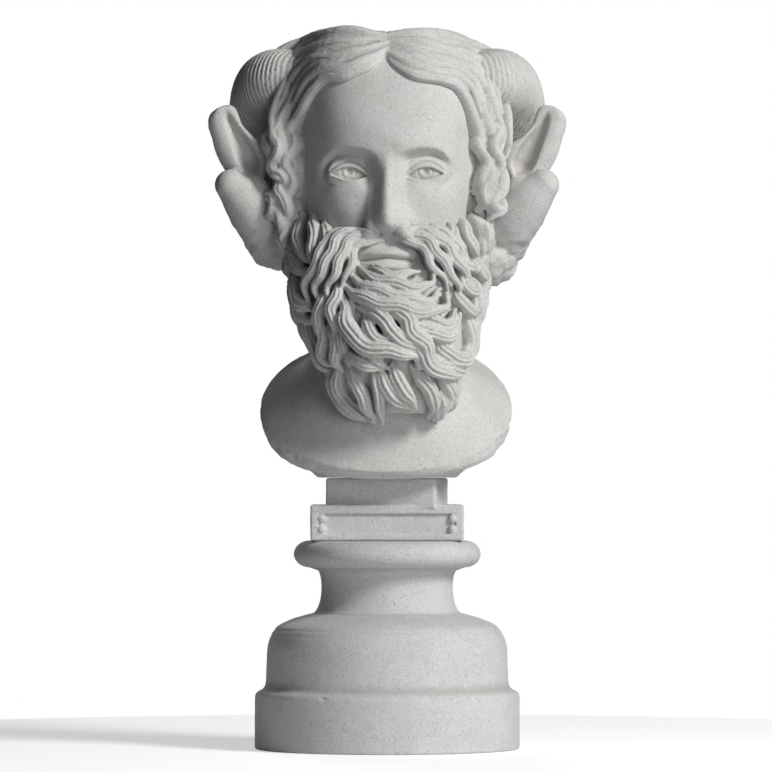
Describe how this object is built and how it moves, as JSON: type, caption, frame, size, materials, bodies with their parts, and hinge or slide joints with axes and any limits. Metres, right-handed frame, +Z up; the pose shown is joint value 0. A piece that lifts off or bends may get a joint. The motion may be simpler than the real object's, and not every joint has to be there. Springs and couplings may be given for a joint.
{
  "type": "bust on socle",
  "caption": "Bust of a bearded god with curling ram's horns and goat's ears, on an index tablet and a round turned socle.",
  "frame": {"origin": "centre of the socle's flat underside, on the socle's axis", "axes": "+Z up along the socle's axis; the figure looks along -Y, so its left side is at +X"},
  "size_m": [0.3122, 0.2555, 0.6496],
  "materials": {
    "bust_stone": "matte, fine pits, darker in the crevices",
    "tablet_stone": "matte, fine pits",
    "socle_stone": "matte, fine pits, faint turning lines"
  },
  "bodies": {
    "root": {"bust": "bust_stone", "tablet": "tablet_stone", "socle": "socle_stone"}
  },
  "joints": []
}
